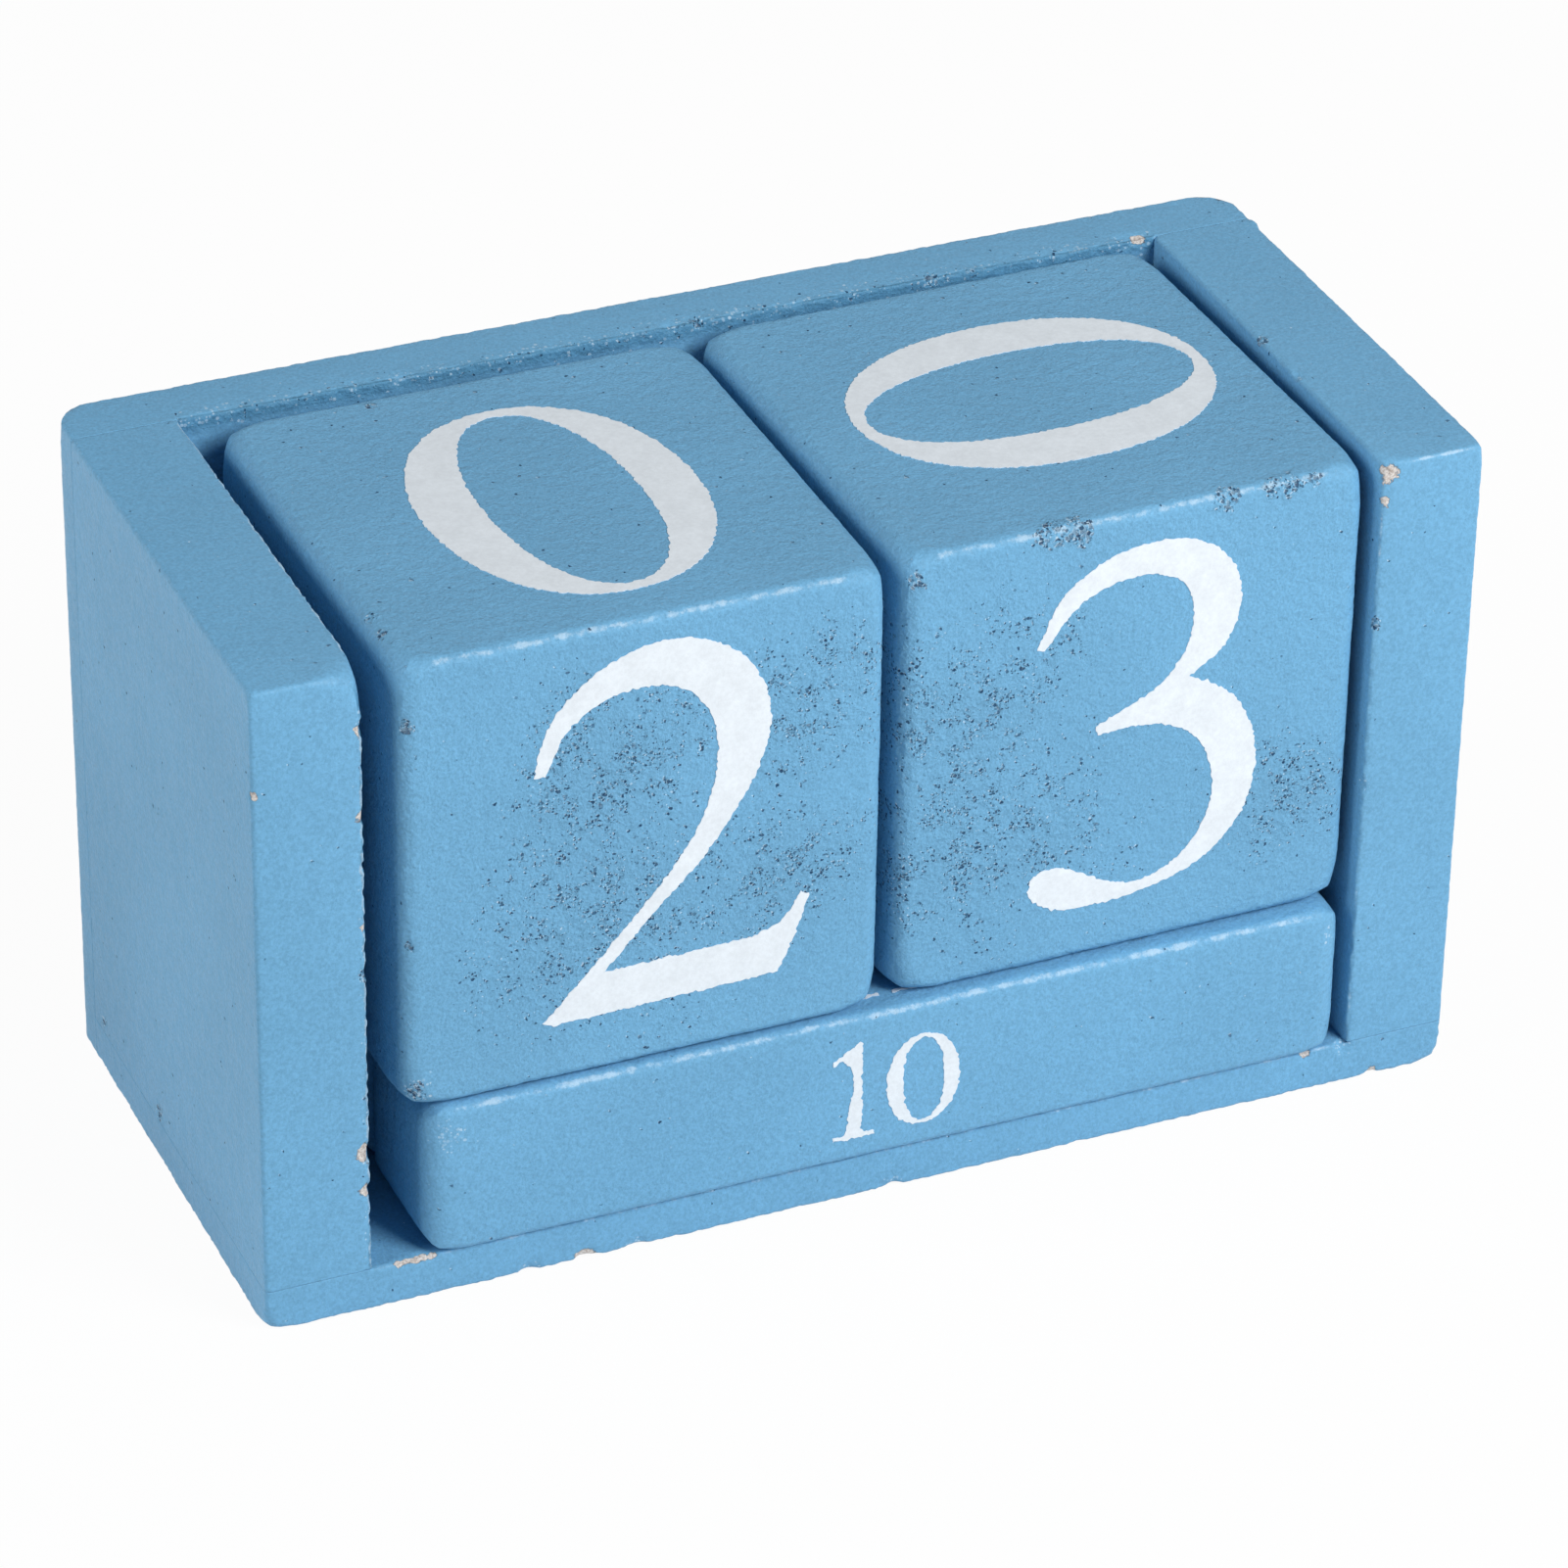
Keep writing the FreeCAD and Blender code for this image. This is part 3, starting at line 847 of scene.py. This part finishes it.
# A number on a cube: its face, the number, its centre across and up the face, quarter turns, and its height.
# The last four are plain on most faces that don't show at rest.
PLAIN = (22.4, 22.4, 0, 36.0)
CUBE_PRINTS = {
    "left_cube": [
        ("front", "2", 24.9, 23.8, 0, 36.0),
        ("top", "0", 23.2, 22.4, 0, 35.1),
        ("left", "6", 22.4, 21.4, 0, 34.0),
        ("right", "7", *PLAIN),
        ("back", "8", *PLAIN),
        ("bottom", "1", *PLAIN),
    ],
    "right_cube": [
        ("front", "3", 24.0, 23.3, 0, 36.0),
        ("top", "0", 22.3, 23.1, 1, 35.8),
        ("left", "4", *PLAIN),
        ("right", "5", *PLAIN),
        ("back", "1", *PLAIN),
        ("bottom", "2", *PLAIN),
    ],
}

# The numbers on a bar's faces, and how high and how far up its face they stand
BAR_FACES = ("front", "top", "back", "bottom")
BAR_NUMBERS = {
    "month_bar_front": ("10", "11", "12", "9"),
    "month_bar_middle": ("5", "6", "7", "8"),
    "month_bar_rear": ("1", "2", "3", "4"),
}
BAR_NUMBER_HEIGHT = 10.0
BAR_NUMBER_UP = 7.6

CORNERS = list(itertools.product((-1, 1), repeat=3))
CUBE_ROWS = zone(CUBE_ROUND, 5, (0, 0.3, 0.6, 0.95, 1.35, 1.8, 2.4, 3.1))
BAR_ROWS = zone(BAR_ROUND, 5, (0, 0.4, 0.9, 1.5, 2.2))
PANEL_ROWS = zone(CASE_EDGE_ROUND, 4, (0, 0.2, 0.5, 1.0, 1.7))
SIDE_ROWS = zone(CASE_EDGE_ROUND, 4, (0, 0.2, 0.5, 1.0, 1.7, 2.4, 3.2, 4.0))
BACK_ROWS = zone(CASE_EDGE_ROUND, 4, (0, 0.2, 0.5, 1.0, 1.6, 2.3, 3.1))


def node_box(node):
    return [Vector(corner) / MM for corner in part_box(node)]


def panel(node, edges, rows, wear, open_span=None):
    low, high = node_box(node)
    return Block(low, high, SEAM_ROUND, edges, rows, wear, open_span=open_span)


def stick(low, high, end_radius, radius, rows, wear, turn=0.0):
    """A block cut from square stock: well rounded at its two sawn ends, and eased along its length."""
    edges = {sides: end_radius if sides[0] else radius for sides in EDGES}
    return Block(low, high, radius, edges, rows, wear, turn)


def bar(node, seed):
    """A month bar, blunted at its corners."""
    knocks = [Knock(corner, 3.2, 4.0) for corner in CORNERS]
    # Rubbed edges carry a pale line, partly wear and partly a painted highlight
    rubbed = {(0, -1, 1): 1.0, (1, -1, 0): 0.9}
    wear = Wear(0.06, 0.05, 0.9, seed, BAR_CHIPS.get(node, []), knocks, rubbed)
    return stick(*node_box(node), BAR_END_ROUND, BAR_ROUND, BAR_ROWS, wear)


def cube(node, seed):
    """A cube of the CAD node's height and middle, turned as it stands."""
    low, high = node_box(node)
    middle = (low + high) / 2
    half = Vector((1, 1, 1)) * (high.z - low.z) / 2
    knocks = [Knock(corner, 3.6, 5.0) for corner in CORNERS]
    # The top front edge carries a pale line, partly wear and partly a painted highlight
    wear = Wear(0.05, 0.05, 0.9, seed, CUBE_CHIPS[node], knocks, {(0, -1, 1): 1.0})
    low, high = middle - half, middle + half
    return stick(low, high, CUBE_END_ROUND, CUBE_ROUND, CUBE_ROWS, wear, CUBE_TURNS[node])


CUBE_CHIPS = {
    "left_cube": [
        Chip("front", 19.8, 30.9, 9, 0.0, "specks"),
        Chip("front", 37.9, 32.9, 7, 0.0, "specks"),
        Chip("front", 19.8, 16.0, 11, 0.0, "specks"),
        Chip("front", 35.9, 17.0, 7, 0.0, "specks"),
        Chip("front", 0.6, 38.9, 0.8, 0.2, "pits"),
        Chip("front", 0.6, 17.0, 0.6, 0.2, "pits"),
        Chip("front", 1.3, 2.2, 1.4, 0.05, "pale"),
        Chip("front", 1.1, 1.7, 1.2, 0.05, "pits"),
        Chip("front", 0.6, 9.0, 0.6, 0.05, "pale"),
        Chip("top", 0.9, 9.0, 0.7, 0.1, "pits"),
        Chip("top", 0.7, 6.2, 0.7, 0.1, "pits"),
        Chip("top", 13.9, 43.2, 0.6, 0.1, "pits"),
    ],
    "right_cube": [
        Chip("front", 7.1, 29.7, 9, 0.0, "specks"),
        Chip("front", 9.1, 16.7, 11, 0.0, "specks"),
        Chip("front", 38.2, 12.7, 6, 0.0, "specks"),
        Chip("front", 16.5, 44.4, 1.6, 0.06, "pits"),
        Chip("front", 14.6, 44.4, 1.4, 0.06, "pits"),
        Chip("front", 13.0, 44.4, 0.9, 0.06, "pits"),
        Chip("front", 31.2, 44.5, 1.4, 0.06, "pits"),
        Chip("front", 35.4, 44.6, 1.1, 0.06, "pits"),
        Chip("front", 37.3, 44.6, 1.3, 0.06, "pits"),
        Chip("front", 39.5, 44.5, 0.8, 0.06, "pits"),
        Chip("front", 1.2, 42.6, 1.0, 0.1, "pits"),
    ],
}
BAR_CHIPS = {
    "month_bar_front": [
        Chip("front", 87.8, 13.0, 1.0, 0.1, "pale"),
        Chip("front", 2.0, 12.2, 1.6, 0.05, "pale"),
    ],
}

LEFT_SIDE_CHIPS = [
    Chip("front", 9.8, 55.2, 0.9, 0.35, "bare"),
    Chip("front", 9.5, 12.4, 1.1, 0.4, "bare"),
    Chip("front", 9.7, 8.5, 0.9, 0.35, "bare"),
    Chip("front", 9.8, 30.7, 0.8, 0.25, "pits"),
    Chip("front", 9.8, 41.6, 0.7, 0.2, "pale"),
    Chip("front", 0.1, 50.8, 0.6, 0.2, "bare"),
    Chip("front", 9.9, 46.6, 0.8, 0.2, "bare"),
    Chip("front", 9.9, 35.6, 0.6, 0.2, "bare"),
    Chip("left", 2.4, 1.1, 0.7, 0.15, "pits"),
    Chip("left", 18.2, 0.9, 0.8, 0.15, "pits"),
]
RIGHT_SIDE_CHIPS = [
    Chip("top", 0.1, 24.7, 0.7, 0.2, "pits"),
    Chip("top", 0.1, 17.6, 0.7, 0.2, "pale"),
    Chip("front", 0.5, 60.0, 1.3, 0.3, "bare"),
    Chip("front", 0.3, 57.0, 0.7, 0.2, "bare"),
    Chip("front", 0.0, 44.6, 0.7, 0.2, "pits"),
    Chip("front", 0.0, 27.7, 0.7, 0.2, "pale"),
    Chip("top", 9.9, 45.5, 0.9, -0.25, None),
]
FLOOR_CHIPS = [
    Chip("front", 12.3, 4.3, 0.6, 0.12, "bare"),
    Chip("front", 13.1, 4.35, 0.6, 0.12, "bare"),
    Chip("front", 13.9, 4.35, 0.6, 0.12, "bare"),
    Chip("front", 14.7, 4.3, 0.6, 0.12, "bare"),
    Chip("front", 15.5, 4.3, 0.6, 0.12, "bare"),
    Chip("front", 24.5, 0.2, 1.0, 0.3, "pale"),
    Chip("front", 30.1, 0.1, 1.2, 0.3, "bare"),
    Chip("front", 34.8, 0.2, 0.9, 0.25, "pale"),
    Chip("front", 59.6, 0.1, 1.1, 0.3, "pale"),
    Chip("front", 108.0, 0.1, 1.0, 0.3, "bare"),
    Chip("front", 101.0, 4.2, 0.9, 0.3, "bare"),
    Chip("front", 104.9, 4.2, 0.9, 0.3, "pale"),
]
BACK_CHIPS = [
    Chip("top", 56.9, 0.2, 0.8, 0.3, "pale"),
    Chip("top", 59.4, 0.2, 0.7, 0.3, "pits"),
    Chip("top", 102.2, 0.3, 0.9, 0.35, "pale"),
    Chip("top", 103.6, 0.2, 0.8, 0.3, "bare"),
    Chip("top", 30.3, 0.2, 0.8, 0.25, "pale"),
    Chip("top", 82.6, 0.2, 0.8, 0.25, "pits"),
]


def eased(*edges):
    return dict.fromkeys(edges, CASE_EDGE_ROUND)


def case_blocks():
    """The four panels. Edges that show are rounded, and those that meet another panel stay crisp."""
    front_top, right_front, left_front = (0, -1, 1), (1, -1, 0), (-1, -1, 0)
    left_top, right_top = (-1, 0, 1), (1, 0, 1)
    left_under, right_under = (-1, 0, -1), (1, 0, -1)
    back = {(-1, 1, 0): BACK_CORNER_ROUND, (1, 1, 0): BACK_CORNER_ROUND}
    back |= eased((0, 1, 1), left_top, right_top, front_top, (0, 1, -1), left_under, right_under)
    bottom = eased(front_top, (0, -1, -1), left_under, right_under, left_front, right_front)
    side = eased(left_top, right_top, front_top, left_front, right_front)
    between_sides = {front_top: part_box("right_side")[0][0] / MM}

    # Rubbed edges below carry a pale line, partly wear and partly a painted highlight
    back_knocks = [Knock((-1, 1, 1), 4.0, 3.0), Knock((1, 1, 1), 4.0, 3.0)]
    # The back panel's gritty top edge also gets painted shade on its inner wall below it
    rubbed, frayed, gritty = {front_top: 0.8}, {front_top: 2.5}, {front_top: 0.45}
    back_wear = Wear(0.03, 0.07, 1.6, 7, BACK_CHIPS, back_knocks, rubbed, frayed, gritty)
    floor_knocks = [Knock((-1, -1, -1), 2.0, 3.0), Knock((1, -1, -1), 2.0, 3.0)]
    floor_wear = Wear(0.04, 0.09, 0.9, 8, FLOOR_CHIPS, floor_knocks, {front_top: 0.85})
    left_knocks = [Knock((1, -1, 1), 3.4, 5.0), Knock((-1, -1, 1), 1.0, 2.0)]
    rubbed, frayed = {right_top: 1.0, right_front: 1.0}, {right_front: 3.5, right_top: 2.2}
    # The left side's gritty front edge gets painted shade on its inner wall
    left_wear = Wear(0.015, 0.06, 0.6, 9, LEFT_SIDE_CHIPS, left_knocks, rubbed, frayed, {right_front: 0.35})
    right_knocks = [Knock((-1, -1, 1), 2.4, 3.5), Knock((1, -1, 1), 1.2, 2.0)]
    rubbed, frayed = {front_top: 0.95, left_front: 0.85}, {left_front: 2.5}
    right_wear = Wear(0.015, 0.06, 0.6, 10, RIGHT_SIDE_CHIPS, right_knocks, rubbed, frayed)
    return {
        "back_panel": panel("back_panel", back, BACK_ROWS, back_wear, between_sides),
        "bottom_panel": panel("bottom_panel", bottom, PANEL_ROWS, floor_wear, between_sides),
        "left_side": panel("left_side", side, SIDE_ROWS, left_wear),
        "right_side": panel("right_side", side, SIDE_ROWS, right_wear),
    }


def add_calendar():
    # The first figure given to each paint is how much painted sparkle it shows
    case_paint = paint_material("case_paint", grit=0.35, specks=0.003, tooth=0.65)
    cube_paint = paint_material("cube_paint", grit=0.3, specks=0.004, tooth=1.35)
    bar_paint = paint_material("bar_paint", grit=0.25, specks=0.003, tooth=1.0)
    ink = print_material("print_ink")
    for node, block in case_blocks().items():
        add_worn_block(node, block, case_paint, "case")
    for seed, (node, prints) in enumerate(CUBE_PRINTS.items(), start=1):
        block = cube(node, seed)
        add_worn_block(node, block, cube_paint, node)
        add_prints(node, block, prints, ink)
    for seed, (node, numbers) in enumerate(BAR_NUMBERS.items(), start=3):
        body = node.removeprefix("month_bar_") + "_bar"
        block = bar(node, seed)
        add_worn_block(node, block, bar_paint, body)
        place = (block.half[0], BAR_NUMBER_UP, 0, BAR_NUMBER_HEIGHT)
        add_prints(body, block, [(face, number, *place) for face, number in zip(BAR_FACES, numbers)], ink)


# ---------------------------------------------------------------- floor, light and camera

# The floor's size in metres, its colour and roughness, how white it shows to the camera and in gloss, and the
# world's light
FLOOR_SIZE = 6.0
FLOOR_WHITE = 0.82
FLOOR_ROUGHNESS = 0.9
SEEN_WHITE = 0.96
MIRRORED_WHITE = 0.5
WORLD_LIGHT = 0.075

# Each soft box's place in metres, its side and its power, and the point that all of them face
SOFT_BOXES = {
    "key": ((0.37, -0.57, 0.53), 0.4, 6.85),
    "fill": ((-1.0, -0.05, 0.55), 0.5, 5.9),
    "back": ((-0.6, 0.95, 0.2), 0.6, 1.7),
}
SOFT_BOX_AIM = (0, 0, 0.03)


def white_share(shader):
    """How white the floor glows for the camera, a clear surface and a reflection, but not as a light."""
    path = shader.tree.nodes.new("ShaderNodeLightPath")
    seen = shader.math("MAXIMUM", path.outputs["Is Camera Ray"], path.outputs["Is Transmission Ray"])
    mirrored = shader.math("MULTIPLY", path.outputs["Is Glossy Ray"], MIRRORED_WHITE)
    return shader.math("MAXIMUM", shader.math("MULTIPLY", seen, SEEN_WHITE), mirrored)


def add_floor():
    """A pale floor that shows nearly white and still takes the shadow."""
    bpy.ops.mesh.primitive_plane_add(size=FLOOR_SIZE)
    floor = bpy.context.object
    floor.name = "floor"
    shader = Shader("pale_floor")
    shader.surface.inputs["Base Color"].default_value = (FLOOR_WHITE,) * 3 + (1.0,)
    shader.surface.inputs["Roughness"].default_value = FLOOR_ROUGHNESS
    shader.surface.inputs["Specular IOR Level"].default_value = 0.0
    glow = shader.add("ShaderNodeEmission", 0, {"Strength": 1.0})
    inputs = {0: white_share(shader), 1: shader.surface.outputs[0], 2: glow}
    both = shader.add("ShaderNodeMixShader", 0, inputs)
    shader.feed(shader.tree.nodes["Material Output"].inputs["Surface"], both)
    floor.data.materials.append(shader.material)


def add_world():
    """A faint even light, which shows white to the camera and half as bright in gloss."""
    world = bpy.data.worlds.new("studio")
    world.use_nodes = True
    bpy.context.scene.world = world
    nodes, links = world.node_tree.nodes, world.node_tree.links
    path = nodes.new("ShaderNodeLightPath")
    strength = WORLD_LIGHT
    shown = {"Is Glossy Ray": MIRRORED_WHITE, "Is Transmission Ray": 1.0, "Is Camera Ray": 1.0}
    for name, white in shown.items():
        choice = nodes.new("ShaderNodeMix")
        links.new(path.outputs[name], choice.inputs["Factor"])
        choice.inputs["B"].default_value = white
        if isinstance(strength, bpy.types.NodeSocket):
            links.new(strength, choice.inputs["A"])
        else:
            choice.inputs["A"].default_value = strength
        strength = choice.outputs["Result"]
    background = nodes["Background"]
    background.inputs["Color"].default_value = (1.0, 1.0, 1.0, 1.0)
    links.new(strength, background.inputs["Strength"])


def add_soft_box(name, place, size, power):
    light = bpy.data.lights.new(name, "AREA")
    light.shape = "SQUARE"
    light.size = size
    light.energy = power
    lamp = bpy.data.objects.new(name, light)
    lamp.location = Vector(place)
    lamp.rotation_euler = (Vector(SOFT_BOX_AIM) - lamp.location).to_track_quat("-Z", "Y").to_euler()
    bpy.context.scene.collection.objects.link(lamp)


def add_camera():
    camera = bpy.data.objects.new("camera", bpy.data.cameras.new("camera"))
    camera.data.sensor_width = SENSOR_WIDTH
    camera.data.lens = CAMERA_LENS
    camera.data.clip_start = CAMERA_NEAR * MM
    place, aim = Vector(CAMERA_PLACE) * MM, Vector(CAMERA_AIM) * MM
    upright = (aim - place).to_track_quat("-Z", "Y").to_matrix().to_4x4()
    roll = Matrix.Rotation(math.radians(CAMERA_ROLL), 4, "Z")
    camera.matrix_world = Matrix.Translation(place) @ upright @ roll
    bpy.context.scene.collection.objects.link(camera)
    bpy.context.scene.camera = camera


add_calendar()
add_floor()
add_world()
for name, settings in SOFT_BOXES.items():
    add_soft_box(name, *settings)
add_camera()
bpy.context.scene.view_settings.view_transform = "Standard"
